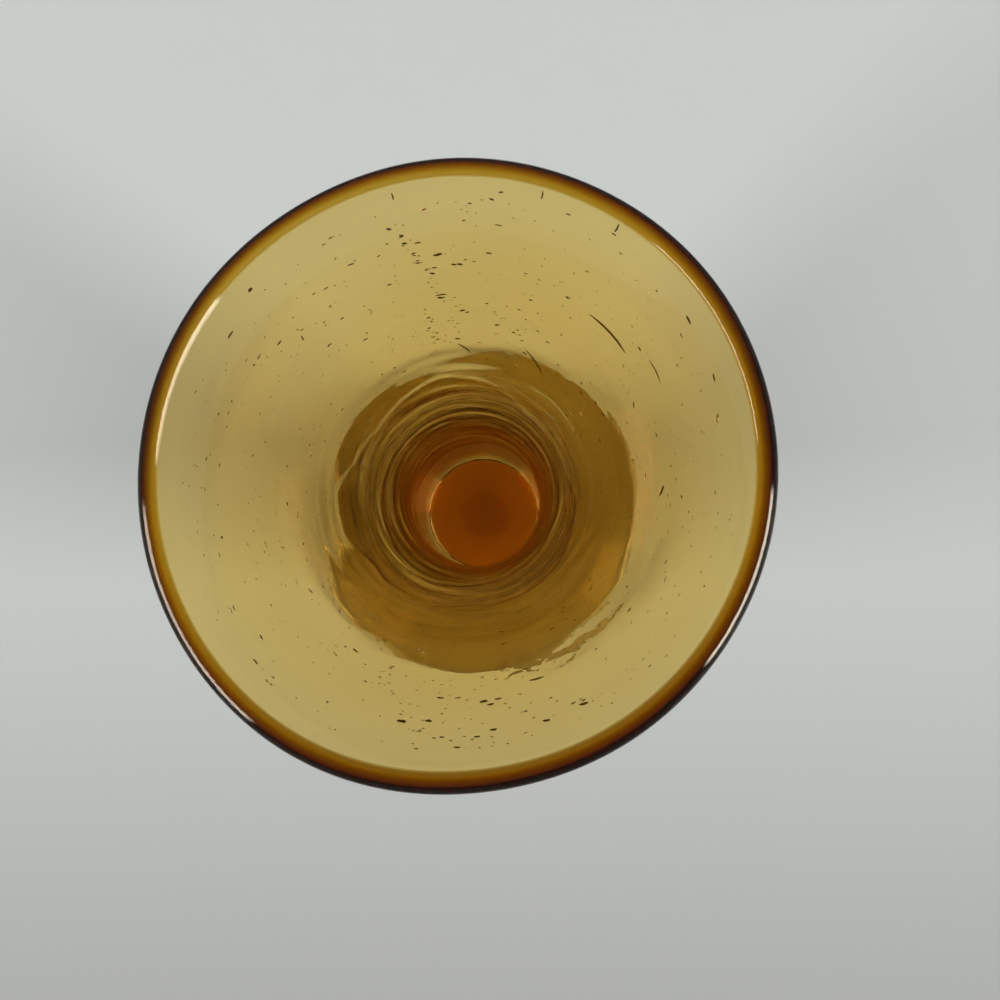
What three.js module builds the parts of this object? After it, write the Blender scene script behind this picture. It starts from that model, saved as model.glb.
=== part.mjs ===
// Footed trumpet vase in seeded amber glass, built up from the gathers a glassblower joins while hot:
// a blown body, a lip wrap round its mouth, a merese, a disc foot, and the seal left by the pontil rod.
// Millimetres, +Z up, origin at the centre of the flat ring that the foot rests on.

import * as THREE from 'three';

// Overall sizes
const HEIGHT = 200;
const MOUTH_DIAMETER = 140;

// Lip wrap: a coil of glass laid round the outside of the rim, half round in section
const LIP_WRAP_RADIUS = 2.1;

// Blown body: outside diameters, heights above the table, and the wall measured square to its outside face
const WAIST_DIAMETER = 42.4;
const WAIST_HEIGHT = 78;
const BELLY_DIAMETER = 43;
const BELLY_HEIGHT = 34;
const FLARE_ANGLE = 43;
const WALL_AT_RIM = 3.2;
const WALL_AT_WAIST = 4;
const WALL_AT_BELLY = 4.4;
const FLOOR_THICKNESS = 4.5;
const FLOOR_CORNER_RADIUS = 1.8;

// Merese: the flattened button of glass that joins the body to the foot
const MERESE_DIAMETER = 36;
const MERESE_THICKNESS = 5;
const JOINT_DIAMETER = 29;

// Disc foot, arched underneath so that it rests on an outer ring
const FOOT_DIAMETER = 95;
const FOOT_HEIGHT = 7;
const FOOT_EDGE_THICKNESS = 3.4;
const FOOT_ARCH = 2.6;
const RESTING_RING_WIDTH = 6;

// Pontil seal: the scar of glass under the foot, inside its arch
const PONTIL_DIAMETER = 17;
const PONTIL_THICKNESS = 1;
const PONTIL_CREST_DIAMETER = 8;
const PONTIL_HOLLOW = 0.3;

// How long each curve holds its first and last direction, as a share of its rise or of its width
const NECK_HOLD = 0.45;
const FLARE_HOLD = 0.42;
const BELLY_HOLD = 0.4;
const BASE_HOLD = 0.7;
const FOOT_HOLD = 0.45;
const PONTIL_HOLD = 0.7;

const AMBER = { color: 0xb5822a, roughness: 0.05, metalness: 0, transparent: true, opacity: 0.6 };
const DEEP_AMBER = { color: 0x7a4310, roughness: 0.05, metalness: 0, transparent: true, opacity: 0.75 };
const GROUND_AMBER = { color: 0xa9803c, roughness: 0.6, metalness: 0, transparent: true, opacity: 0.8 };

const SIDES = 64;

const point = (radius, height) => new THREE.Vector2(radius, height);
const between = THREE.MathUtils.lerp;

// Levels at which the body, merese and foot meet, each on a flat face
const footTop = FOOT_HEIGHT;
const bodyBase = footTop + MERESE_THICKNESS;
const jointRadius = JOINT_DIAMETER / 2;

// The wrap lies on the straight end of the wall's outside face, so its section is centred on that face
const flare = THREE.MathUtils.degToRad(FLARE_ANGLE);
const alongWall = point(Math.sin(flare), Math.cos(flare));
const intoWall = point(-alongWall.y, alongWall.x);
const rimRise = Math.hypot(LIP_WRAP_RADIUS * alongWall.y, WALL_AT_RIM * intoWall.y);
const wrapCentre = point(MOUTH_DIAMETER / 2 - LIP_WRAP_RADIUS, HEIGHT - rimRise);
const wrapStart = wrapCentre.clone().addScaledVector(alongWall, -LIP_WRAP_RADIUS);

// A solid turned about +Z from a closed outline of (radius, height) points that runs outwards along its base
function turned(name, outline, look) {
  const geometry = new THREE.LatheGeometry(outline, SIDES);
  geometry.rotateX(Math.PI / 2);
  const mesh = new THREE.Mesh(geometry, new THREE.MeshStandardMaterial(look));
  mesh.name = name;
  return mesh;
}

function arc(centre, radiusX, radiusY, startAngle, endAngle, steps, tilt = 0) {
  const curve = new THREE.EllipseCurve(
    centre.x,
    centre.y,
    radiusX,
    radiusY,
    startAngle,
    endAngle,
    false,
    tilt,
  );
  return curve.getPoints(steps);
}

// The inside face of a wall: its outside face moved in by a thickness that changes evenly along the curve
function insideOf(outside, steps, wallAtStart, wallAtEnd) {
  const inside = [];
  for (let i = 0; i <= steps; i += 1) {
    const share = i / steps;
    const along = outside.getTangent(share);
    const inwards = point(-along.y, along.x);
    const wall = between(wallAtStart, wallAtEnd, share);
    inside.push(outside.getPoint(share).addScaledVector(inwards, wall));
  }
  return inside;
}

function blownBody() {
  const belly = point(BELLY_DIAMETER / 2, BELLY_HEIGHT);
  const waist = point(WAIST_DIAMETER / 2, WAIST_HEIGHT);
  const neckRise = waist.y - belly.y;
  const trumpetRise = wrapStart.y - waist.y;

  const base = new THREE.CubicBezierCurve(
    point(jointRadius, bodyBase),
    point(between(jointRadius, belly.x, BASE_HOLD), bodyBase),
    point(belly.x, between(belly.y, bodyBase, BASE_HOLD)),
    belly,
  );
  const neck = new THREE.CubicBezierCurve(
    belly,
    point(belly.x, belly.y + BELLY_HOLD * neckRise),
    point(waist.x, waist.y - NECK_HOLD * neckRise),
    waist,
  );
  const trumpet = new THREE.CubicBezierCurve(
    waist,
    point(waist.x, waist.y + NECK_HOLD * trumpetRise),
    wrapStart.clone().addScaledVector(alongWall, -FLARE_HOLD * trumpetRise),
    wrapStart,
  );
  // The wall runs on inside the wrap, and its end is rounded over from the wrap to the inside face
  const roundedRim = arc(wrapCentre, LIP_WRAP_RADIUS, WALL_AT_RIM, 0, Math.PI / 2, 6, alongWall.angle());

  const trumpetInside = insideOf(trumpet, 11, WALL_AT_WAIST, WALL_AT_RIM);
  const neckInside = insideOf(neck, 5, WALL_AT_BELLY, WALL_AT_WAIST);
  const bellyInside = neckInside[0];
  const floorLevel = bodyBase + FLOOR_THICKNESS;
  const cornerCentre = point(bellyInside.x - FLOOR_CORNER_RADIUS, floorLevel + FLOOR_CORNER_RADIUS);
  const floorCorner = arc(cornerCentre, FLOOR_CORNER_RADIUS, FLOOR_CORNER_RADIUS, -Math.PI / 2, 0, 6);

  return turned('blown_body', [
    point(0, bodyBase),
    ...base.getPoints(5),
    ...neck.getPoints(5).slice(1),
    ...trumpet.getPoints(11).slice(1),
    ...roundedRim,
    ...trumpetInside.slice(1).reverse(),
    ...neckInside.reverse(),
    ...floorCorner.reverse(),
    point(0, floorLevel),
  ], AMBER);
}

function lipWrap() {
  const coil = arc(wrapCentre, LIP_WRAP_RADIUS, LIP_WRAP_RADIUS, -Math.PI, 0, 12, alongWall.angle());
  return turned('lip_wrap', [...coil, coil[0]], DEEP_AMBER);
}

function merese() {
  // Its rounded edge is part of an ellipse that passes through the edges of both joints
  const radius = MERESE_DIAMETER / 2;
  const centre = point(0, footTop + MERESE_THICKNESS / 2);
  const edgeAngle = Math.acos(jointRadius / radius);
  const radiusY = MERESE_THICKNESS / 2 / Math.sin(edgeAngle);
  return turned('merese', [
    point(0, footTop),
    ...arc(centre, radius, radiusY, -edgeAngle, edgeAngle, 10),
    point(0, bodyBase),
  ], DEEP_AMBER);
}

function discFoot() {
  const edgeRadius = FOOT_EDGE_THICKNESS / 2;
  const ringOuter = FOOT_DIAMETER / 2 - edgeRadius;
  const ringInner = ringOuter - RESTING_RING_WIDTH;
  const sealRadius = PONTIL_DIAMETER / 2;

  const arch = new THREE.CubicBezierCurve(
    point(sealRadius, FOOT_ARCH),
    point(between(sealRadius, ringInner, FOOT_HOLD), FOOT_ARCH),
    point(between(ringInner, sealRadius, FOOT_HOLD), 0),
    point(ringInner, 0),
  );
  const edge = arc(point(ringOuter, edgeRadius), edgeRadius, edgeRadius, -Math.PI / 2, Math.PI / 2, 7);
  const top = new THREE.CubicBezierCurve(
    point(ringOuter, FOOT_EDGE_THICKNESS),
    point(between(ringOuter, jointRadius, FOOT_HOLD), FOOT_EDGE_THICKNESS),
    point(between(jointRadius, ringOuter, FOOT_HOLD / 2), between(FOOT_EDGE_THICKNESS, footTop, FOOT_HOLD)),
    point(jointRadius, footTop),
  );

  return turned('disc_foot', [
    point(0, FOOT_ARCH),
    ...arch.getPoints(7),
    ...edge,
    ...top.getPoints(7).slice(1),
    point(0, footTop),
  ], AMBER);
}

function pontilSeal() {
  // Thickest in a ring, because the middle pulls away with the rod, and thinning out to its edge
  const crest = point(PONTIL_CREST_DIAMETER / 2, FOOT_ARCH - PONTIL_THICKNESS);
  const middle = point(0, crest.y + PONTIL_HOLLOW);
  const hollow = new THREE.CubicBezierCurve(
    middle,
    point(crest.x / 2, middle.y),
    point(crest.x / 2, crest.y),
    crest,
  );
  const rim = point(PONTIL_DIAMETER / 2, FOOT_ARCH);
  const halfway = between(crest.x, rim.x, 0.5);
  const edge = new THREE.CubicBezierCurve(
    crest,
    point(halfway, crest.y),
    point(halfway, between(crest.y, rim.y, PONTIL_HOLD)),
    rim,
  );
  return turned('pontil_seal', [
    ...hollow.getPoints(4),
    ...edge.getPoints(5).slice(1),
    point(0, FOOT_ARCH),
  ], GROUND_AMBER);
}

const vase = new THREE.Group();
vase.name = 'footed_trumpet_vase';
vase.add(blownBody(), lipWrap(), merese(), discFoot(), pontilSeal());

export default vase;
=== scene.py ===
import math

import bpy
import numpy as np
from mathutils import Matrix, Vector


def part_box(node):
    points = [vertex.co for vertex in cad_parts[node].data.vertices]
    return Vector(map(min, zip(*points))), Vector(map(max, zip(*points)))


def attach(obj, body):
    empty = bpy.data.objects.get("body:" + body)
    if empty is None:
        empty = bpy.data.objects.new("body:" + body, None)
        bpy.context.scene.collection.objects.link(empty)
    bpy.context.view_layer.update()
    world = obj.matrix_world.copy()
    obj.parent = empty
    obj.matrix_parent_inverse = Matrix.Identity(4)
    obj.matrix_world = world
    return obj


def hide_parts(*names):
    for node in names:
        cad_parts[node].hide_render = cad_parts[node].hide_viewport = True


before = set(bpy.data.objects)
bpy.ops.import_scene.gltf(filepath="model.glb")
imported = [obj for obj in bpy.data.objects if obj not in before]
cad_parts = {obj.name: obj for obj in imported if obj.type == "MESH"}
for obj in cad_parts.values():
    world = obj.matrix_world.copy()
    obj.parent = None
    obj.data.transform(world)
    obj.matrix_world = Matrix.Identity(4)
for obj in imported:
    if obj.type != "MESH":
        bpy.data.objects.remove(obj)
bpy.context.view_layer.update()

MM = 0.001

# Levels that the frame gives, in metres
BODY_BASE, HEIGHT = (corner[2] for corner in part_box("blown_body"))
FOOT_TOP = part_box("disc_foot")[1][2]

# Sizes of the construction, as its source gives them
MOUTH_RADIUS = 70 * MM
WRAP_RADIUS = 2.1 * MM
WAIST_RADIUS = 21.2 * MM
WAIST_HEIGHT = 78 * MM
BELLY_RADIUS = 21.5 * MM
BELLY_HEIGHT = 34 * MM
FLARE_ANGLE = math.radians(43)
WALL_AT_RIM = 3.2 * MM
WALL_AT_WAIST = 4.0 * MM
WALL_AT_BELLY = 4.4 * MM
FLOOR_THICKNESS = 4.5 * MM
FLOOR_CORNER = 1.8 * MM
MERESE_RADIUS = 18 * MM
JOINT_RADIUS = 14.5 * MM
FOOT_RADIUS = 47.5 * MM
FOOT_EDGE_RADIUS = 1.7 * MM
FOOT_ARCH = 2.6 * MM
RESTING_RING_WIDTH = 6 * MM
PONTIL_RADIUS = 8.5 * MM
PONTIL_CREST_RADIUS = 4.0 * MM
PONTIL_THICKNESS = 1.0 * MM
PONTIL_HOLLOW = 0.3 * MM

# How long each curve holds its first and last direction, as a share of its rise or of its width
NECK_HOLD = 0.45
FLARE_HOLD = 0.42
BELLY_HOLD = 0.4
BASE_HOLD = 0.7
FOOT_HOLD = 0.45
PONTIL_HOLD = 0.7

# Fused pieces run into each other by this much, so that no air gap shows between them
FUSED = 0.05 * MM

# How fine the meshes are: points round the vase, steps along a curve or an arc, and the spacing of the rings
AROUND = 320
CURVE_STEPS = 400
CORNER_STEPS, CUP_FLOOR_STEPS = 24, 15
RIM_STEPS, COIL_STEPS, SEAT_STEPS = 14, 44, 5
MERESE_STEPS, FOOT_EDGE_STEPS = 28, 14
FLAT_STEPS, RING_STEPS = 5, 2
PLAIN_SPACING = 1.2 * MM
MARKED_SPACING = 0.45 * MM
MARKED_FROM, MARKED_TO = 70 * MM, 172 * MM
CUP_SPACING = 0.4 * MM
FOOT_SPACING = 1.5 * MM
HOLLOW_SPACING = 0.7 * MM
BROKEN_SPACING = 0.5 * MM
EDGE_MARGIN = 1 * MM
SHARP_ANGLE = math.radians(50)

# Hand work, which grows from the waist to the rim. The mouth is a little oval, and its edge wanders in
# lobes: how many, how far and a phase. The middle of each lobe's swing lies inwards by a share of it
OVAL = 0.8 * MM
OVAL_AZIMUTH = math.radians(39)
WANDER = ((3, 0.14 * MM, 0.7), (4, 0.12 * MM, 2.1), (5, 0.1 * MM, 4.4), (7, 0.06 * MM, 1.2))
WANDER_INWARDS = 0.3
HAND_GROWTH = 1.5

# The wrap is thicker on one side by a share of its radius, and its inner edge is melted in
WRAP_SWING = 0.15
WRAP_THICKEST = math.radians(-60)
MELTED_IN = 3.0

# The heights over which the wall runs out into the rim, and how far from the axis the hand work and the
# relief have their full size
RIM_LOW, RIM_HIGH = HEIGHT - 14 * MM, HEIGHT - 5 * MM
HAND_WORK_FULL = 10 * MM
RELIEF_FULL = 6 * MM

# Slow waves in the two faces of the wall, and the heights over which they set in
INNER_WAVES = dict(count=8, size=0.03 * MM, shortest=30 * MM, longest=90 * MM, most_turns=5)
OUTER_WAVES = dict(count=6, size=0.04 * MM, shortest=20 * MM, longest=60 * MM, most_turns=4)
WAVE_SHARES = (0.5, 1)
INNER_WAVES_NONE, INNER_WAVES_FULL = 80 * MM, 120 * MM
OUTER_WAVES_NONE, OUTER_WAVES_FULL = 50 * MM, 70 * MM

# The wall thickens and thins slowly up the flare: all round, in lobes, and most of all on one side
SWELL_MIDDLE, SWELL_LENGTH = 150 * MM, 100 * MM
SWELL_ROUND, SWELL_LOBES, SWELL_SIDE = 0.13 * MM, 0.10 * MM, 0.35 * MM
SWELL_LOBE_COUNT = 4
SWELL_AZIMUTH, SWELL_REACH = math.radians(52), math.radians(30)

# Strokes of the jacks: how many, between which heights, and from how narrow to how wide and how deep they
# are. Then how far they reach round the vase in radians, how much they climb, and how faint and full they
# may be
BROAD_STROKES = dict(
    count=40, low=80 * MM, high=132 * MM, widths=(4 * MM, 9 * MM), depths=(0.08 * MM, 0.18 * MM),
)
FINE_STROKES = dict(
    count=320, low=78 * MM, high=160 * MM, widths=(0.7 * MM, 2.6 * MM), depths=(0.05 * MM, 0.16 * MM),
)
INNER_STROKES = dict(
    count=90, low=84 * MM, high=158 * MM, widths=(0.9 * MM, 2.6 * MM), depths=(0.01 * MM, 0.04 * MM),
)
FLARE_STROKES = dict(
    count=150, low=128 * MM, high=176 * MM, widths=(0.9 * MM, 2.4 * MM), depths=(0.006 * MM, 0.024 * MM),
)
STROKE_REACHES = (0.2, 0.9)
STROKE_CLIMB = 4 * MM
STROKE_SHARES = (0.4, 1)

# The jacks worked the neck up to a crooked fold, whose height goes by azimuth in degrees. Their strokes on
# the outside grow fainter towards it and end there
FOLD_AZIMUTHS = (-160, -140, -120, -93, -64, -40, -5, 11, 52, 78, 104, 144, 167, 182)
FOLD_HEIGHTS_MM = (148, 143, 148, 144, 146, 145, 138, 130, 129, 137, 141, 137, 141, 148)
FOLD_HEIGHTS = tuple(height * MM for height in FOLD_HEIGHTS_MM)
FOLD_DEPTH = 0.06 * MM
FOLD_WIDTH = 1.3 * MM
STROKES_LAST, STROKES_GONE = -2 * MM, 1 * MM
FAINTER_FROM, FAINTER_TO, FAINTER_SHARE = 122 * MM, 146 * MM, 0.25

# The seeds that stand out: azimuth and height, length and width in mm, and slant up the wall in degrees
LARGE_SEEDS = (
    (100, 186.5, 1.6, 0.40, 0), (101, 182, 1.3, 0.35, 0), (97, 180, 1.4, 0.35, 5),
    (96, 173, 2.2, 0.40, 0), (100, 162, 0.9, 0.30, 10), (101, 166, 0.9, 0.30, 20),
    (148, 193, 2.2, 0.45, 0), (138, 195.5, 1.2, 0.80, 0), (118, 194, 1.2, 0.35, 0),
    (125, 185.5, 1.3, 0.30, 0), (134, 174, 1.4, 0.35, 0), (124, 169, 1.5, 0.35, 0),
    (138, 180, 1.7, 0.35, -80), (110, 179, 1.2, 0.35, 0), (45, 178, 12.5, 0.62, 4),
    (29, 181.5, 6.0, 0.36, 4), (34, 194, 2.2, 0.55, 10), (21, 193, 1.9, 0.45, 10),
    (57, 196, 1.3, 0.35, 0), (73, 197.3, 2.4, 0.35, 88), (57, 197.3, 2.6, 0.45, 88),
    (67, 195.5, 1.3, 0.35, 0), (81, 189.5, 1.8, 0.30, 0), (60, 156.5, 9.0, 0.50, 44),
    (24, 172, 1.8, 0.40, 30), (-3, 176, 2.8, 0.60, 25), (103, 197, 2.0, 0.35, 88),
    (90, 155.5, 5.0, 0.45, 52), (-95, 181, 1.8, 0.50, 0), (-69, 180, 3.6, 0.55, 8),
    (-61, 191, 2.2, 0.70, 20), (-80, 182.5, 1.8, 0.45, 0), (-97, 187, 1.7, 0.60, 0),
    (-82, 190, 1.7, 0.60, 0), (-70, 191, 1.8, 0.65, 15), (-90, 193, 1.6, 0.45, 0),
)
LARGE_SEED_BEND = -0.06

# Strings of seeds: azimuth in degrees and height in mm at each end, and how many
SEED_STRINGS = (
    (105, 191.5, 101, 183, 10), (101, 183, 97, 173, 10), (97, 173, 88, 167.5, 7),
    (103, 170.5, 100, 159.5, 7), (93.5, 165, 92, 161, 4), (83, 169.5, 68, 162, 9),
    (93, 183, 91, 180.5, 3), (89, 194.5, 82, 195, 5), (-112, 176, -98, 194, 12),
    (-100, 189, -80, 193, 10), (-88, 181, -72, 188, 10), (-68, 186, -56, 194, 7),
)
STRING_SCATTER_ROUND, STRING_SCATTER_UP = math.radians(0.8), 0.7 * MM
STRING_SEED_LENGTH = 0.75 * MM
STRING_SEED_SPREAD = 0.4
STRING_SEED_SLIMNESS = 0.4
STRING_SEED_SLANT = 0.2

# The small ones: how many, the usual length, the spread of its logarithm and the width for each length
SMALL_SEEDS = (
    (900, 0.42 * MM, 0.30, 0.60),
    (330, 0.95 * MM, 0.35, 0.33),
)
SMALL_SEED_LONGEST = 2.2 * MM
SMALL_SEED_WIDTHS = (0.8, 1.2)
SMALL_SEED_SLANT = 0.25
SMALL_SEEDS_LOW, SMALL_SEEDS_HIGH = 112 * MM, HEIGHT - 5.5 * MM
SMALL_SEEDS_CROWDING = 0.7
SMALL_SEED_DEPTHS = (0.3, 0.7)
THINNEST_SEED = 0.22 * MM
MIDDLE_OF_WALL = 0.5

# The share of the small seeds that hold a shell of painted shade. All the large ones and all the strings
# hold it
DARK_SHARE = 0.4

# Rings along the shell of a seed and points round it
LARGE_SHELL = (12, 10)
STRING_SHELL = (6, 6)
SMALL_SHELL = (4, 6)

# The edge of the seal is broken off in lobes: how many, how far and a phase
SEAL_WANDER = ((2, 0.05, 0.4), (3, 0.06, 1.9), (5, 0.04, 4.0))

# Light that each glass takes out for each metre, in red, green and blue
AMBER_LOSS = (20.0, 99.0, 390.0)
DEEP_AMBER_LOSS = (880.0, 1650.0, 5500.0)
RED_AMBER_LOSS = (46.0, 218.0, 850.0)
FOOT_LOSS = (10.0, 48.0, 210.0)
LOSS_HEADROOM = 1.02
GLASS_IOR = 1.5
CLEAR = (1, 1, 1, 1)
SHEEN_TINT = (1.0, 0.86, 0.64, 1)

# The skin of each glass: how high its ripples are, how many there are to a metre and how fine they go
FIRE_POLISHED = (0.06 * MM, 60, 2)
JACKED = (0.06 * MM, 60, 4)
BROKEN = (0.2 * MM, 400, 2)
BROKEN_ROUGHNESS = 0.1

# Fine marks of the jacks: rings about a millimetre apart that fade out between two heights. Noise makes that
# crooked, because it lifts each point by up to the given rise before its height is looked at
JACK_MARKS = 0.10 * MM
MARKS_NOISE = dict(scale=(45, 45, 600), detail=3, bent=1.5)
MARKS_FULL, MARKS_NONE = 143 * MM, 165 * MM
CROOKED_SCALE, CROOKED_RISE = 30, 30 * MM

# Painted shade over the worked neck, drawn out into streaks: the tint of the glass between them and in them
STREAKS_NOISE = dict(scale=(18, 18, 165), detail=6, bent=1.0, fineness=0.62)
STREAKS_LOW, STREAKS_HIGH = 0.42, 0.60
SHADE_BETWEEN_STREAKS = (0.84, 0.74, 0.46, 1)
SHADE_IN_STREAKS = (0.36, 0.26, 0.07, 1)

# The share of painted shade in streaks: it grows above the floor of the cup and is full up to the fold.
# Weaker streaks of it run on past the fold, furthest on the near side, and faint ones are everywhere
STREAKS_NONE, STREAKS_FULL = 12 * MM, 36 * MM
STREAKS_LAST, STREAKS_GONE = -3 * MM, 1 * MM
PAST_FOLD, PAST_FOLD_REACH, PAST_FOLD_SWING = 0.7, 22 * MM, 0.45
FAINT_STREAKS = 0.06

# Painted shade: dark shells inside seeds, standing in for the dark look that refraction gives them
SEED_SHADE_DARK, SEED_SHADE_LIGHT = (0.06, 0.036, 0.006, 1), (0.22, 0.15, 0.03, 1)
SEED_SHADE_GRAIN, SEED_SHADE_ROUGHNESS, SEED_SHADE_GLOSS = 900, 0.7, 0.1

# Floor: a pale sheet with painted light falloff, darker towards the near side and far away. Under the base a
# painted glow brightens it, for every ray that looks at it
FLOOR_HALF = 20.0
FLOOR_GAP = 0.15 * MM
FLOOR_ROUGHNESS = 0.6
# Painted light falloff: the floor's colour is paler behind the vase, darker on the near side and far away
FLOOR_NEAR = (0.52, 0.53, 0.52, 1)
FLOOR_BEHIND = (0.79, 0.825, 0.795, 1)
FLOOR_AWAY = (0.26, 0.27, 0.265, 1)
NEAR_Y, BEHIND_Y = -0.22, 0.04
AWAY_FROM, AWAY_FULL = 0.24, 0.7
PAINTED_GLOW_UNDER_BASE = 0.15
PAINTED_GLOW_FULL, PAINTED_GLOW_NONE = 16 * MM, 26 * MM

# World: soft light from all round, by elevation
HORIZON = (0.34, 0.35, 0.34, 1)
WALLS = (0.14, 0.14, 0.14, 1)
CEILING = (0.03, 0.03, 0.03, 1)
WALLS_FROM, WALLS_FULL = math.radians(2), math.radians(16)
CEILING_FROM, CEILING_FULL = math.radians(55), math.radians(75)

# Two tall windows, one on each side: azimuth of the middle, half width, lower and upper edge, and brightness
WINDOWS = (
    (-18, 18, 12, 32, 14.0),
    (-157, 22, 12, 32, 10.0),
)
WINDOW_EDGE = math.radians(1.5)

# Camera: above the mouth and a little to the near right, looking down the inside
CAMERA_PLACE = (20.4 * MM, -28.7 * MM, 640 * MM)
CAMERA_TARGET = (9.46 * MM, -5.6 * MM, 200 * MM)
FOCAL_SHARE = 2.057
SENSOR = 36.0
NEAREST = 0.01

# Bounces of light
GLASS_BOUNCES = 32
GLOSS_BOUNCES = 12

# One seed for all random draws, so that each run gives the same vase
rng = np.random.default_rng(seed=11)


# Lines and curves

def point(radius, height):
    return np.array([radius, height], float)


def lerp(a, b, share):
    return a + (b - a) * share


def smooth(low, high, x):
    t = np.clip((x - low) / (high - low), 0, 1)
    return t * t * (3 - 2 * t)


def bezier(a, b, c, d):
    t = np.linspace(0, 1, CURVE_STEPS + 1)[:, None]
    return (1 - t) ** 3 * a + 3 * (1 - t) ** 2 * t * b + 3 * (1 - t) * t * t * c + t ** 3 * d


def bezier_tangent(a, b, c, d):
    t = np.linspace(0, 1, CURVE_STEPS + 1)[:, None]
    along = 3 * (1 - t) ** 2 * (b - a) + 6 * (1 - t) * t * (c - b) + 3 * t * t * (d - c)
    return along / np.linalg.norm(along, axis=1)[:, None]


def ellipse_arc(centre, radius_x, radius_y, start, end, steps):
    t = np.linspace(start, end, steps + 1)
    return np.c_[centre[0] + radius_x * np.cos(t), centre[1] + radius_y * np.sin(t)]


def flat_line(start, end, height, steps=FLAT_STEPS):
    radii = np.linspace(start, end, steps + 1)
    return np.c_[radii, np.full_like(radii, height)]


def evenly(line, spacing):
    """The same line with points at about the given spacing along it."""
    run = np.r_[0, np.cumsum(np.linalg.norm(np.diff(line, axis=0), axis=1))]
    count = max(2, int(round(run[-1] / spacing)) + 1)
    at = np.linspace(0, run[-1], count)
    return np.c_[np.interp(at, run, line[:, 0]), np.interp(at, run, line[:, 1])]


def normals_of(line):
    along = np.gradient(line, axis=0)
    along /= np.linalg.norm(along, axis=1)[:, None]
    return np.c_[along[:, 1], -along[:, 0]]


def turn_from(azimuth, middle):
    """The turn from a middle azimuth, at most half a turn either way."""
    return (azimuth - middle + math.pi) % (2 * math.pi) - math.pi


# The straight end of the wall, with the wrap centred on its outside face
along_wall = point(math.sin(FLARE_ANGLE), math.cos(FLARE_ANGLE))
into_wall = point(-along_wall[1], along_wall[0])


def rim_rise(wrap_radius):
    return np.hypot(wrap_radius * along_wall[1], WALL_AT_RIM * into_wall[1])


wrap_centre = point(MOUTH_RADIUS - WRAP_RADIUS, HEIGHT - rim_rise(WRAP_RADIUS))
wrap_start = wrap_centre - WRAP_RADIUS * along_wall
wrap_end = wrap_centre + WRAP_RADIUS * along_wall

# The three curves of the outside of the body
belly = point(BELLY_RADIUS, BELLY_HEIGHT)
waist = point(WAIST_RADIUS, WAIST_HEIGHT)
neck_rise = waist[1] - belly[1]
trumpet_rise = wrap_start[1] - waist[1]
base_curve = (
    point(JOINT_RADIUS, BODY_BASE),
    point(lerp(JOINT_RADIUS, BELLY_RADIUS, BASE_HOLD), BODY_BASE),
    point(BELLY_RADIUS, lerp(BELLY_HEIGHT, BODY_BASE, BASE_HOLD)),
    belly,
)
neck_curve = (
    belly,
    point(BELLY_RADIUS, BELLY_HEIGHT + BELLY_HOLD * neck_rise),
    point(WAIST_RADIUS, WAIST_HEIGHT - NECK_HOLD * neck_rise),
    waist,
)
trumpet_curve = (
    waist,
    point(WAIST_RADIUS, WAIST_HEIGHT + NECK_HOLD * trumpet_rise),
    wrap_start - FLARE_HOLD * trumpet_rise * along_wall,
    wrap_start,
)


def inside_of(curve, wall_at_start, wall_at_end):
    outside = bezier(*curve)
    along = bezier_tangent(*curve)
    inwards = np.c_[-along[:, 1], along[:, 0]]
    wall = np.linspace(wall_at_start, wall_at_end, len(outside))[:, None]
    return outside + wall * inwards


neck_inside = inside_of(neck_curve, WALL_AT_BELLY, WALL_AT_WAIST)
trumpet_inside = inside_of(trumpet_curve, WALL_AT_WAIST, WALL_AT_RIM)
belly_inside = neck_inside[0]
floor_middle = point(0, BODY_BASE + FLOOR_THICKNESS)
corner_centre = point(belly_inside[0] - FLOOR_CORNER, floor_middle[1] + FLOOR_CORNER)
cup_inside = np.r_[
    flat_line(0, corner_centre[0], floor_middle[1], CUP_FLOOR_STEPS)[:-1],
    ellipse_arc(corner_centre, FLOOR_CORNER, FLOOR_CORNER, -math.pi / 2, 0, CORNER_STEPS),
    belly_inside[None],
]

# The two faces of the wall above the cup
wall_outside = np.r_[bezier(*neck_curve), bezier(*trumpet_curve)[1:]]
wall_inside = np.r_[neck_inside, trumpet_inside[1:]]


# Hand work

def hand_shift(azimuth, height):
    """How far a point moves outwards because the vase was shaped by hand."""
    share = smooth(WAIST_HEIGHT, HEIGHT, height) ** HAND_GROWTH
    shift = OVAL * (np.cos(2 * (azimuth - OVAL_AZIMUTH)) - 1)
    for lobes, size, phase in WANDER:
        shift = shift + size * (np.cos(lobes * azimuth + phase) - WANDER_INWARDS)
    return share * shift


def by_hand(azimuth, radius, height, in_wrap=False):
    """Where hand work puts a point. The wrap is thicker on one side, and the wall's end goes with it."""
    growth = WRAP_SWING * np.cos(azimuth - WRAP_THICKEST)
    near_rim = smooth(RIM_LOW, RIM_HIGH, height)
    out, up = radius - wrap_centre[0], height - wrap_centre[1]
    if not in_wrap:
        beyond = np.maximum(0, out * along_wall[0] + up * along_wall[1])
        out, up = beyond * along_wall[0], beyond * along_wall[1]
    rise = rim_rise(WRAP_RADIUS * (1 + growth)) - rim_rise(WRAP_RADIUS)
    moved_radius = radius + near_rim * growth * (out - WRAP_RADIUS)
    moved_radius = moved_radius + hand_shift(azimuth, height) * smooth(0, HAND_WORK_FULL, radius)
    return moved_radius, height + near_rim * (growth * up - rise)


# Relief of the wall

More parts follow.
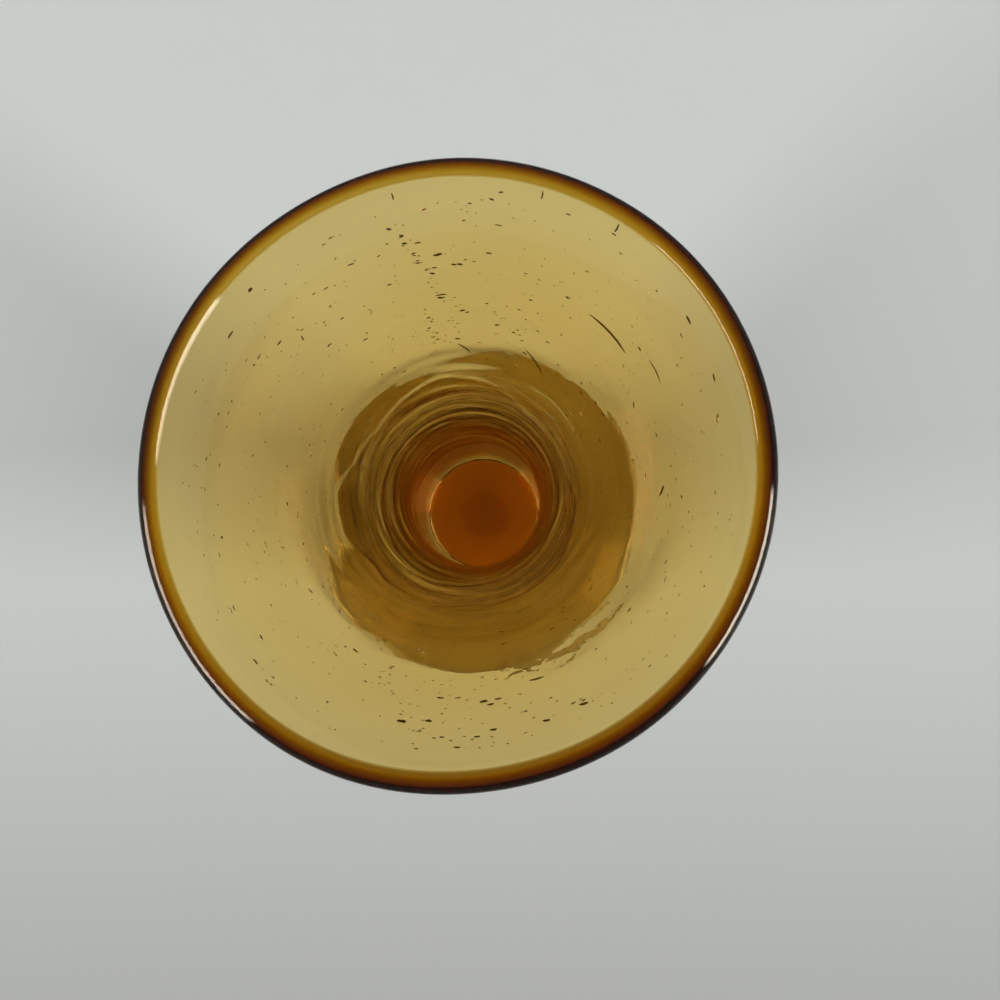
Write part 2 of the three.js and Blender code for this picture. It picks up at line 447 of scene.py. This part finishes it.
def wave_terms(count, size, shortest, longest, most_turns):
    terms = []
    for _ in range(count):
        length = math.exp(rng.uniform(math.log(shortest), math.log(longest)))
        terms.append((
            size * rng.uniform(*WAVE_SHARES) * math.sqrt(length / longest),
            length * rng.choice((-1, 1)),
            int(rng.integers(-most_turns, most_turns + 1)),
            rng.uniform(0, 2 * math.pi),
        ))
    return terms


def waves(azimuth, height, terms):
    """Slanted waves added up, each with a size, a length up the wall, turns round the vase and a phase."""
    total = 0 * azimuth
    for size, length, turns, phase in terms:
        total = total + size * np.sin(2 * np.pi * height / length + turns * azimuth + phase)
    return total


def tool_strokes(count, low, high, widths, depths):
    """Marks of the jacks, each with a middle, a level, a reach in azimuth, a width, a climb and a depth."""
    strokes = []
    for _ in range(count):
        share = rng.uniform(0, 1)
        strokes.append((
            rng.uniform(0, 2 * math.pi),
            rng.uniform(low, high),
            rng.uniform(*STROKE_REACHES),
            lerp(*widths, share),
            rng.normal(0, STROKE_CLIMB),
            rng.choice((-1, 1)) * lerp(*depths, share) * rng.uniform(*STROKE_SHARES),
        ))
    return strokes


def stroke_relief(azimuth, height, strokes):
    total = 0 * azimuth
    for middle, level, reach, width, climb, depth in strokes:
        turn = turn_from(azimuth, middle)
        across = (height - level - climb * turn) / width
        total = total + depth * np.exp(-(turn / reach) ** 2 - across ** 2)
    return total


inner_waves = wave_terms(**INNER_WAVES)
outer_waves = wave_terms(**OUTER_WAVES)
outer_strokes = tool_strokes(**BROAD_STROKES) + tool_strokes(**FINE_STROKES)
inner_strokes = tool_strokes(**INNER_STROKES)
flare_strokes = tool_strokes(**FLARE_STROKES)


def swell(azimuth, height):
    aside = turn_from(azimuth, SWELL_AZIMUTH) / SWELL_REACH
    lobes = SWELL_LOBES * np.cos(SWELL_LOBE_COUNT * azimuth)
    size = SWELL_ROUND + lobes + SWELL_SIDE * np.exp(-aside ** 2)
    return size * np.sin(2 * np.pi * (height - SWELL_MIDDLE) / SWELL_LENGTH)


def above_fold(azimuth, height):
    return height - np.interp(np.degrees(azimuth), FOLD_AZIMUTHS, FOLD_HEIGHTS, period=360)


def rim_fade(height):
    return 1 - smooth(RIM_LOW, RIM_HIGH, height)


def inside_relief(azimuth, height):
    share = smooth(INNER_WAVES_NONE, INNER_WAVES_FULL, height) * rim_fade(height)
    uneven = waves(azimuth, height, inner_waves) + swell(azimuth, height)
    return share * uneven + stroke_relief(azimuth, height, inner_strokes)


def outside_relief(azimuth, height):
    share = smooth(OUTER_WAVES_NONE, OUTER_WAVES_FULL, height) * rim_fade(height)
    above = above_fold(azimuth, height)
    worked = 1 - smooth(STROKES_LAST, STROKES_GONE, above)
    worked = worked * lerp(1, FAINTER_SHARE, smooth(FAINTER_FROM, FAINTER_TO, height))
    fold = FOLD_DEPTH * np.exp(-(above / FOLD_WIDTH) ** 2)
    marks = worked * stroke_relief(azimuth, height, outer_strokes)
    marks = marks + stroke_relief(azimuth, height, flare_strokes)
    return share * waves(azimuth, height, outer_waves) + marks - fold


# Painted shade: how much of it each point of the body takes, by azimuth and height
def share_of_painted_shade(azimuth, height):
    above = above_fold(azimuth, height)
    up_to_fold = 1 - smooth(STREAKS_LAST, STREAKS_GONE, above)
    reach = PAST_FOLD_REACH * (1 - PAST_FOLD_SWING * np.sin(azimuth))
    past_fold = PAST_FOLD * (1 - smooth(0, 1, above / reach))
    share = np.maximum(up_to_fold, past_fold) * smooth(STREAKS_NONE, STREAKS_FULL, height)
    return np.maximum(share, FAINT_STREAKS)


# Meshes

def lathe_grid(line, relief=None, relief_sign=1, in_wrap=False):
    """Points of a turned surface, as rings by azimuth, with the hand work and the relief put in."""
    azimuth = np.linspace(0, 2 * math.pi, AROUND, endpoint=False)[None, :]
    radius = np.repeat(line[:, :1], AROUND, axis=1)
    height = np.repeat(line[:, 1:], AROUND, axis=1)
    azimuth = np.repeat(azimuth, len(line), axis=0)
    if relief is not None:
        normal = normals_of(line)
        amount = relief_sign * relief(azimuth, height)
        amount = amount * smooth(0, RELIEF_FULL, radius)
        radius = radius + amount * normal[:, :1]
        height = height + amount * normal[:, 1:]
    radius, height = by_hand(azimuth, radius, height, in_wrap)
    return np.stack([radius * np.cos(azimuth), radius * np.sin(azimuth), height], axis=-1)


def add_mesh(name, vertices, faces):
    mesh = bpy.data.meshes.new(name)
    mesh.from_pydata(vertices, [], faces)
    made = bpy.data.objects.new(name, mesh)
    bpy.context.scene.collection.objects.link(made)
    return made


def mesh_from_rings(name, grid, start_pole=None, end_pole=None, closed=False, shells=None):
    """A closed mesh from rings of points, with a pole where an end meets the axis, and shells inside it."""
    rings, around, _ = grid.shape
    vertices = grid.reshape(-1, 3)
    index = np.arange(rings * around).reshape(rings, around)
    beside = np.roll(index, -1, axis=1)
    faces = []
    for ring in range(rings if closed else rings - 1):
        above = (ring + 1) % rings
        faces += np.c_[index[ring], beside[ring], beside[above], index[above]].tolist()
    if start_pole is not None:
        faces += np.c_[beside[0], index[0], np.full(around, len(vertices))].tolist()
        vertices = np.r_[vertices, [(0, 0, start_pole)]]
    if end_pole is not None:
        faces += np.c_[index[-1], beside[-1], np.full(around, len(vertices))].tolist()
        vertices = np.r_[vertices, [(0, 0, end_pole)]]
    if shells is not None:
        faces += (np.array(shells.faces) + len(vertices)).tolist()
        vertices = np.r_[vertices, np.array(shells.vertices)]
    piece = add_mesh(name, vertices.tolist(), faces)
    piece.data.validate()
    piece.data.polygons.foreach_set("use_smooth", [True] * len(piece.data.polygons))
    piece.data.set_sharp_from_angle(angle=SHARP_ANGLE)
    piece.data.update()
    return piece


# Air seeds: small drawn-out bubbles, each a closed shell that faces into its own air

def seed_shell(centre, along, across, through, length, width, bend, rings, around):
    """A spindle of air. Its length runs along one direction and bends towards another."""
    vertices = []
    for ring in range(rings + 1):
        turn = math.pi * ring / rings
        middle = centre - along * length / 2 * math.cos(turn) + across * bend * length * math.cos(turn) ** 2
        if ring in (0, rings):
            vertices.append(middle)
            continue
        for step in range(around):
            angle = 2 * math.pi * step / around
            outwards = across * math.cos(angle) + through * math.sin(angle)
            vertices.append(middle + math.sin(turn) * width / 2 * outwards)
    tip = len(vertices) - 1
    last_ring = 1 + (rings - 2) * around
    faces = []
    for step in range(around):
        after = (step + 1) % around
        faces.append((0, 1 + step, 1 + after))
        faces.append((tip, last_ring + after, last_ring + step))
        for ring in range(rings - 2):
            near = 1 + ring * around
            far = near + around
            faces.append((near + step, far + step, far + after))
            faces.append((near + step, far + after, near + after))
    return vertices, faces


def place_in_wall(azimuth, height, depth_share):
    """A place inside the wall, with the directions round the vase, up the wall and through it."""
    inner_radius = np.interp(height, wall_inside[:, 1], wall_inside[:, 0])
    k = int(np.argmin((wall_inside[:, 0] - inner_radius) ** 2 + (wall_inside[:, 1] - height) ** 2))
    normal = normals_of(wall_inside[k - 1:k + 2])[1]
    wall = np.linalg.norm(wall_outside - wall_inside[k], axis=1).min()
    radius, level = wall_inside[k] + normal * wall * depth_share
    radius = radius + float(hand_shift(np.array(azimuth), np.array(level)))
    out = np.array([math.cos(azimuth), math.sin(azimuth), 0.0])
    around = np.array([-math.sin(azimuth), math.cos(azimuth), 0.0])
    up = np.array([0.0, 0.0, 1.0])
    through = normal[0] * out + normal[1] * up
    rising = np.cross(through, around)
    return out * radius + up * level, around, rising, through


class Shells:
    """Closed shells gathered into one list of points and faces."""

    def __init__(self):
        self.vertices, self.faces, self.dark = [], [], []

    def add(self, place, slant, length, width, rings_and_around, dark, bend=0):
        centre, around, rising, through = place_in_wall(*place)
        along = math.cos(slant) * around + math.sin(slant) * rising
        across = -math.sin(slant) * around + math.cos(slant) * rising
        vertices, faces = seed_shell(centre, along, across, through, length, width, bend, *rings_and_around)
        start = len(self.vertices)
        self.vertices += vertices
        self.faces += [tuple(start + v for v in face) for face in faces]
        self.dark += [dark] * len(faces)


def add_large_seeds(shells):
    for azimuth, height, length, width, slant in LARGE_SEEDS:
        place = math.radians(azimuth), height * MM, MIDDLE_OF_WALL
        size = length * MM, width * MM
        shells.add(place, math.radians(slant), *size, LARGE_SHELL, dark=True, bend=LARGE_SEED_BEND)


def add_strings_of_seeds(shells):
    for from_azimuth, from_height, to_azimuth, to_height, count in SEED_STRINGS:
        for share in np.linspace(0, 1, count):
            azimuth = math.radians(lerp(from_azimuth, to_azimuth, share))
            azimuth = azimuth + rng.normal(0, STRING_SCATTER_ROUND)
            height = lerp(from_height, to_height, share) * MM + rng.normal(0, STRING_SCATTER_UP)
            length = STRING_SEED_LENGTH * math.exp(rng.normal(0, STRING_SEED_SPREAD))
            width = max(THINNEST_SEED, STRING_SEED_SLIMNESS * length)
            slant = rng.normal(0, STRING_SEED_SLANT)
            shells.add((azimuth, height, MIDDLE_OF_WALL), slant, length, width, STRING_SHELL, dark=True)


def add_small_seeds(shells):
    for count, usual, spread, slimness in SMALL_SEEDS:
        for _ in range(count):
            length = min(SMALL_SEED_LONGEST, usual * math.exp(rng.normal(0, spread)))
            width = max(THINNEST_SEED, length * slimness * rng.uniform(*SMALL_SEED_WIDTHS))
            azimuth = rng.uniform(0, 2 * math.pi)
            height = lerp(SMALL_SEEDS_LOW, SMALL_SEEDS_HIGH, rng.uniform(0, 1) ** SMALL_SEEDS_CROWDING)
            depth_share = rng.uniform(*SMALL_SEED_DEPTHS)
            slant = rng.normal(0, SMALL_SEED_SLANT)
            dark = rng.uniform(0, 1) < DARK_SHARE
            shells.add((azimuth, height, depth_share), slant, length, width, SMALL_SHELL, dark)


def all_seeds():
    shells = Shells()
    add_large_seeds(shells)
    add_strings_of_seeds(shells)
    add_small_seeds(shells)
    return shells


# Node trees

def add(tree, kind, inputs=(), **settings):
    """A new node. Each given input takes a fixed value, or a link from the output of another node."""
    node = tree.nodes.new("ShaderNode" + kind)
    for name, value in settings.items():
        setattr(node, name, value)
    for socket, value in dict(inputs).items():
        if isinstance(value, bpy.types.NodeSocket):
            tree.links.new(value, node.inputs[socket])
        else:
            node.inputs[socket].default_value = value
    return node


def maths(tree, operation, *values):
    return add(tree, "Math", enumerate(values), operation=operation).outputs["Value"]


def eased(tree, value, start, end, at_start=0, at_end=1):
    """A smooth step from one number at the start to another at the end."""
    ends = {"Value": value, "From Min": start, "From Max": end, "To Min": at_start, "To Max": at_end}
    return add(tree, "MapRange", ends, interpolation_type="SMOOTHSTEP").outputs["Result"]


def mixed(tree, share, low, high):
    """A colour between two others."""
    return add(tree, "Mix", {"Factor": share, "A": low, "B": high}, data_type="RGBA").outputs["Result"]


def noise_at(tree, vector, scale, **inputs):
    return add(tree, "TexNoise", {"Vector": vector, "Scale": scale, **inputs}).outputs["Fac"]


def drawn_out_noise(tree, place, scale, detail, bent, fineness=0.5):
    """Noise with a scale of its own on each axis, which draws it out round the vase."""
    squeezed = add(tree, "Mapping", {"Vector": place, "Scale": scale}).outputs["Vector"]
    return noise_at(tree, squeezed, 1, Detail=detail, Distortion=bent, Roughness=fineness)


def bumped(tree, height, distance, **under):
    """A bump, alone or over another normal."""
    inputs = {"Height": height, "Distance": distance, "Strength": 1, **under}
    return add(tree, "Bump", inputs).outputs["Normal"]


def new_material(name, outcome):
    """A material. Its outcome is a function that fills the node tree and gives what the output shows."""
    made = bpy.data.materials.new(name)
    made.use_nodes = True
    made.node_tree.nodes.clear()
    add(made.node_tree, "OutputMaterial", outcome(made.node_tree))
    return made


# Glass

def jack_marks(tree, place, normal):
    """A second bump over the first, from noise drawn out round the vase."""
    rings = drawn_out_noise(tree, place, **MARKS_NOISE)
    height = add(tree, "SeparateXYZ", {"Vector": place}).outputs["Z"]
    crooked = noise_at(tree, place, CROOKED_SCALE)
    level = maths(tree, "MULTIPLY_ADD", crooked, CROOKED_RISE, height)
    fade = eased(tree, level, MARKS_FULL, MARKS_NONE, 1, 0)
    return bumped(tree, maths(tree, "MULTIPLY", rings, fade), JACK_MARKS, Normal=normal)


def painted_neck_shade(tree, place):
    """Painted shade in streaks, which darkens the glass by the share that the body gives at each of its
    points.
    """
    streaks = drawn_out_noise(tree, place, **STREAKS_NOISE)
    in_streak = eased(tree, streaks, STREAKS_LOW, STREAKS_HIGH)
    tint = mixed(tree, in_streak, SHADE_BETWEEN_STREAKS, SHADE_IN_STREAKS)
    share = add(tree, "Attribute", attribute_name="jacked").outputs["Fac"]
    return mixed(tree, share, CLEAR, tint)


def glass(name, loss, skin=FIRE_POLISHED, roughness=0.0, jacked=False):
    """Glass that takes light out by its thickness, with a rippled skin and perhaps marks of the jacks with
    painted shade.
    """
    ripple_height, ripple_scale, ripple_detail = skin

    def outcome(tree):
        place = add(tree, "TexCoord").outputs["Object"]
        ripples = noise_at(tree, place, ripple_scale, Detail=ripple_detail)
        normal = bumped(tree, ripples, ripple_height)
        tint = CLEAR
        if jacked:
            normal = jack_marks(tree, place, normal)
            # Painted shade in streaks over the worked neck
            tint = painted_neck_shade(tree, place)
        shader = add(tree, "BsdfPrincipled", {
            "Base Color": tint,
            "Transmission Weight": 1,
            "IOR": GLASS_IOR,
            "Roughness": roughness,
            "Specular Tint": SHEEN_TINT,
            "Normal": normal,
        })
        density = LOSS_HEADROOM * max(loss)
        colour = tuple(1 - share / density for share in loss) + (1,)
        volume = add(tree, "VolumeAbsorption", {"Color": colour, "Density": density})
        return {"Surface": shader.outputs["BSDF"], "Volume": volume.outputs["Volume"]}

    return new_material(name, outcome)


def jacked_amber_glass_with_painted_shade():
    return glass("jacked_amber_glass_with_painted_shade", AMBER_LOSS, JACKED, jacked=True)


def deep_amber_glass():
    return glass("deep_amber_glass", DEEP_AMBER_LOSS)


def red_amber_glass():
    return glass("red_amber_glass", RED_AMBER_LOSS)


def foot_amber_glass():
    return glass("foot_amber_glass", FOOT_LOSS)


def broken_glass():
    return glass("broken_glass", AMBER_LOSS, BROKEN, BROKEN_ROUGHNESS)


# Painted shade: a dark, grainy, opaque shell for the dark look of seeds
def painted_seed_shade():
    def outcome(tree):
        place = add(tree, "TexCoord").outputs["Object"]
        shader = add(tree, "BsdfPrincipled", {
            "Base Color": mixed(tree, noise_at(tree, place, SEED_SHADE_GRAIN), SEED_SHADE_DARK, SEED_SHADE_LIGHT),
            "Roughness": SEED_SHADE_ROUGHNESS,
            "Specular IOR Level": SEED_SHADE_GLOSS,
        })
        return {"Surface": shader.outputs["BSDF"]}

    return new_material("painted_seed_shade", outcome)


def finish_piece(piece, node, look):
    piece.data.materials.append(look)
    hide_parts(node)
    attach(piece, "root")


# Blown body

def body_line(*parts):
    """One line up the body, with closer points where the tool marks are."""
    line = np.concatenate([parts[0]] + [part[1:] for part in parts[1:]])
    marked = (line[:, 1] > MARKED_FROM) & (line[:, 1] < MARKED_TO)
    first, last = np.flatnonzero(marked)[[0, -1]]
    return np.r_[
        evenly(line[:first + 1], PLAIN_SPACING)[:-1],
        evenly(line[first:last + 1], MARKED_SPACING),
        evenly(line[last:], PLAIN_SPACING)[1:],
    ]


def mark_painted_shade(body):
    """Gives each point of the body its share of painted shade, which falls in streaks."""
    places = np.empty(3 * len(body.data.vertices))
    body.data.vertices.foreach_get("co", places)
    x, y, z = places.reshape(-1, 3).T
    jacked = body.data.attributes.new("jacked", "FLOAT", "POINT")
    jacked.data.foreach_set("value", share_of_painted_shade(np.arctan2(y, x), z))


def blown_body():
    turn = np.linspace(0, math.pi / 2, RIM_STEPS + 1)[:, None]
    rim_line = wrap_centre + WRAP_RADIUS * np.cos(turn) * along_wall + WALL_AT_RIM * np.sin(turn) * into_wall
    outside_up = body_line(bezier(*base_curve), bezier(*neck_curve), bezier(*trumpet_curve))
    inside_up = np.r_[
        evenly(cup_inside[:-1], CUP_SPACING)[1:-1],
        body_line(cup_inside[-2:], neck_inside, trumpet_inside),
    ]
    grid = np.concatenate([
        lathe_grid(outside_up, outside_relief),
        lathe_grid(rim_line),
        lathe_grid(inside_up, inside_relief, -1)[::-1],
    ])
    seeds = all_seeds()
    body = mesh_from_rings("glass_body", grid, BODY_BASE, floor_middle[1], shells=seeds)
    # Painted shade: each point's share of it, kept as an attribute
    mark_painted_shade(body)
    finish_piece(body, "blown_body", jacked_amber_glass_with_painted_shade())
    # Seed shells marked dark take the second material, which is painted shade
    body.data.materials.append(painted_seed_shade())
    finish_of_face = np.zeros(len(body.data.polygons), int)
    finish_of_face[-len(seeds.dark):] = seeds.dark
    body.data.polygons.foreach_set("material_index", finish_of_face)


# Lip wrap: half round in section, melted in along its inner edge and seated just into the wall

def lip_wrap():
    turn = np.linspace(-math.pi, 0, COIL_STEPS + 1)[:, None]
    stands_out = -np.sin(turn)
    stands_out = np.where(turn < -math.pi / 2, np.abs(stands_out) ** MELTED_IN, stands_out)
    coil_line = wrap_centre + WRAP_RADIUS * (np.cos(turn) * along_wall - stands_out * into_wall)
    seat_line = np.linspace(wrap_end, wrap_start, SEAT_STEPS + 1) + FUSED * into_wall
    lip = mesh_from_rings("glass_lip", lathe_grid(np.r_[coil_line, seat_line], in_wrap=True), closed=True)
    finish_piece(lip, "lip_wrap", deep_amber_glass())


# Merese: its rounded edge is part of an ellipse that passes through the edges of both joints

def merese():
    middle = point(0, (FOOT_TOP + BODY_BASE) / 2)
    edge_angle = math.acos(JOINT_RADIUS / MERESE_RADIUS)
    half = (BODY_BASE - FOOT_TOP) / 2 + FUSED
    edge_height = half / math.sin(edge_angle)
    low, high = middle[1] - half, middle[1] + half
    line = np.r_[
        flat_line(EDGE_MARGIN, JOINT_RADIUS - EDGE_MARGIN, low),
        ellipse_arc(middle, MERESE_RADIUS, edge_height, -edge_angle, edge_angle, MERESE_STEPS),
        flat_line(JOINT_RADIUS - EDGE_MARGIN, EDGE_MARGIN, high),
    ]
    button = mesh_from_rings("glass_merese", lathe_grid(line), low, high)
    finish_piece(button, "merese", red_amber_glass())


# Disc foot, arched underneath so that it rests on an outer ring

def disc_foot():
    ring_outer = FOOT_RADIUS - FOOT_EDGE_RADIUS
    ring_inner = ring_outer - RESTING_RING_WIDTH
    edge_centre = point(ring_outer, FOOT_EDGE_RADIUS)
    edge_top = 2 * FOOT_EDGE_RADIUS
    arch = bezier(
        point(PONTIL_RADIUS, FOOT_ARCH),
        point(lerp(PONTIL_RADIUS, ring_inner, FOOT_HOLD), FOOT_ARCH),
        point(lerp(ring_inner, PONTIL_RADIUS, FOOT_HOLD), 0),
        point(ring_inner, 0),
    )
    top = bezier(
        point(ring_outer, edge_top),
        point(lerp(ring_outer, JOINT_RADIUS, FOOT_HOLD), edge_top),
        point(lerp(JOINT_RADIUS, ring_outer, FOOT_HOLD / 2), lerp(edge_top, FOOT_TOP, FOOT_HOLD)),
        point(JOINT_RADIUS, FOOT_TOP),
    )
    line = np.r_[
        flat_line(EDGE_MARGIN, PONTIL_RADIUS - EDGE_MARGIN, FOOT_ARCH),
        evenly(arch, FOOT_SPACING),
        flat_line(ring_inner + FOOT_SPACING, ring_outer - FOOT_SPACING, 0, RING_STEPS),
        ellipse_arc(
            edge_centre, FOOT_EDGE_RADIUS, FOOT_EDGE_RADIUS, -math.pi / 2, math.pi / 2, FOOT_EDGE_STEPS,
        ),
        evenly(top, FOOT_SPACING)[1:],
        flat_line(JOINT_RADIUS - EDGE_MARGIN, EDGE_MARGIN, FOOT_TOP),
    ]
    foot = mesh_from_rings("glass_foot", lathe_grid(line), FOOT_ARCH, FOOT_TOP)
    finish_piece(foot, "disc_foot", foot_amber_glass())


# Pontil seal: thickest in a ring, with a broken edge, and seated just into the foot

def pontil_seal():
    crest = point(PONTIL_CREST_RADIUS, FOOT_ARCH - PONTIL_THICKNESS)
    middle = crest[1] + PONTIL_HOLLOW
    seat = FOOT_ARCH + FUSED
    halfway = (crest[0] + PONTIL_RADIUS) / 2
    hollow = bezier(point(0, middle), point(crest[0] / 2, middle), point(crest[0] / 2, crest[1]), crest)
    edge = bezier(
        crest,
        point(halfway, crest[1]),
        point(halfway, lerp(crest[1], FOOT_ARCH, PONTIL_HOLD)),
        point(PONTIL_RADIUS, seat),
    )
    grid = lathe_grid(np.r_[
        evenly(hollow, HOLLOW_SPACING)[1:],
        evenly(edge, BROKEN_SPACING)[1:],
        flat_line(PONTIL_RADIUS - EDGE_MARGIN, EDGE_MARGIN, seat),
    ])
    azimuth = np.arctan2(grid[..., 1], grid[..., 0])
    reach = 1 + sum(size * (np.cos(lobes * azimuth + phase) - 1) for lobes, size, phase in SEAL_WANDER)
    grid[..., :2] *= reach[..., None]
    seal = mesh_from_rings("glass_pontil", grid, middle, seat)
    finish_piece(seal, "pontil_seal", broken_glass())


# Floor

def pale_floor():
    def outcome(tree):
        place = add(tree, "TexCoord").outputs["Object"]
        depth = add(tree, "SeparateXYZ", {"Vector": place}).outputs["Y"]
        distance = add(tree, "VectorMath", {0: place}, operation="LENGTH").outputs["Value"]
        # Painted light falloff across the floor, by depth and by distance
        shade = mixed(tree, eased(tree, depth, NEAR_Y, BEHIND_Y), FLOOR_NEAR, FLOOR_BEHIND)
        shade = mixed(tree, eased(tree, distance, AWAY_FROM, AWAY_FULL), shade, FLOOR_AWAY)
        rays = add(tree, "LightPath").outputs
        looking = rays["Is Camera Ray"]
        for kind in ("Is Glossy Ray", "Is Transmission Ray"):
            looking = maths(tree, "MAXIMUM", looking, rays[kind])
        # Painted glow: the floor under the base glows for camera, glossy and transmission rays
        painted_glow = eased(tree, distance, PAINTED_GLOW_FULL, PAINTED_GLOW_NONE, PAINTED_GLOW_UNDER_BASE, 0)
        shader = add(tree, "BsdfPrincipled", {
            "Base Color": shade,
            "Roughness": FLOOR_ROUGHNESS,
            "Emission Color": CLEAR,
            "Emission Strength": maths(tree, "MULTIPLY", looking, painted_glow),
        })
        return {"Surface": shader.outputs["BSDF"]}

    return new_material("pale_floor", outcome)


def stage_floor():
    signs = ((-1, -1), (1, -1), (1, 1), (-1, 1))
    square = [(x * FLOOR_HALF, y * FLOOR_HALF, -FLOOR_GAP) for x, y in signs]
    floor = add_mesh("floor", square, [(0, 1, 2, 3)])
    floor.data.materials.append(pale_floor())


# World

def towards(tree, direction, azimuth):
    """How much a direction of the sky points to an azimuth."""
    aim = (math.cos(azimuth), math.sin(azimuth), 0)
    return add(tree, "VectorMath", {0: direction, 1: aim}, operation="DOT_PRODUCT").outputs["Value"]


def window(tree, direction, elevation, middle, half_width, low, high):
    """1 inside a window and 0 outside it, with a soft edge."""
    forward = towards(tree, direction, middle)
    sideways = towards(tree, direction, middle + math.pi / 2)
    aside = maths(tree, "ABSOLUTE", maths(tree, "ARCTAN2", sideways, forward))
    within = eased(tree, aside, half_width - WINDOW_EDGE, half_width + WINDOW_EDGE, 1, 0)
    above_low = eased(tree, elevation, low - WINDOW_EDGE, low + WINDOW_EDGE)
    below_high = eased(tree, elevation, high - WINDOW_EDGE, high + WINDOW_EDGE, 1, 0)
    return maths(tree, "MULTIPLY", maths(tree, "MULTIPLY", within, above_low), below_high)


def studio_world():
    world = bpy.data.worlds.new("studio")
    bpy.context.scene.world = world
    world.use_nodes = True
    tree = world.node_tree
    tree.nodes.clear()
    direction = add(tree, "TexCoord").outputs["Generated"]
    elevation = maths(tree, "ARCSINE", add(tree, "SeparateXYZ", {"Vector": direction}).outputs["Z"])
    sky = mixed(tree, eased(tree, elevation, WALLS_FROM, WALLS_FULL), HORIZON, WALLS)
    sky = mixed(tree, eased(tree, elevation, CEILING_FROM, CEILING_FULL), sky, CEILING)
    for *angles, brightness in WINDOWS:
        share = window(tree, direction, elevation, *np.radians(angles).tolist())
        sky = mixed(tree, share, sky, (brightness, brightness, brightness, 1))
    background = add(tree, "Background", {"Color": sky})
    add(tree, "OutputWorld", {"Surface": background.outputs["Background"]})


# Camera

def photo_camera():
    data = bpy.data.cameras.new("camera")
    data.sensor_width = SENSOR
    data.lens = FOCAL_SHARE * SENSOR
    data.clip_start = NEAREST
    camera = bpy.data.objects.new("camera", data)
    bpy.context.scene.collection.objects.link(camera)
    camera.location = CAMERA_PLACE
    back = (Vector(CAMERA_PLACE) - Vector(CAMERA_TARGET)).normalized()
    right = Vector((0, 1, 0)).cross(back).normalized()
    up = back.cross(right)
    camera.rotation_euler = Matrix((right, up, back)).transposed().to_euler()
    bpy.context.scene.camera = camera


# Colour, and the bounces that thick glass needs

def scene_settings():
    scene = bpy.context.scene
    scene.view_settings.view_transform = "Standard"
    scene.cycles.max_bounces = GLASS_BOUNCES
    scene.cycles.transmission_bounces = GLASS_BOUNCES
    scene.cycles.glossy_bounces = GLOSS_BOUNCES
    scene.cycles.caustics_refractive = True
    scene.cycles.caustics_reflective = True


blown_body()
lip_wrap()
merese()
disc_foot()
pontil_seal()
stage_floor()
studio_world()
photo_camera()
scene_settings()
bpy.context.view_layer.update()
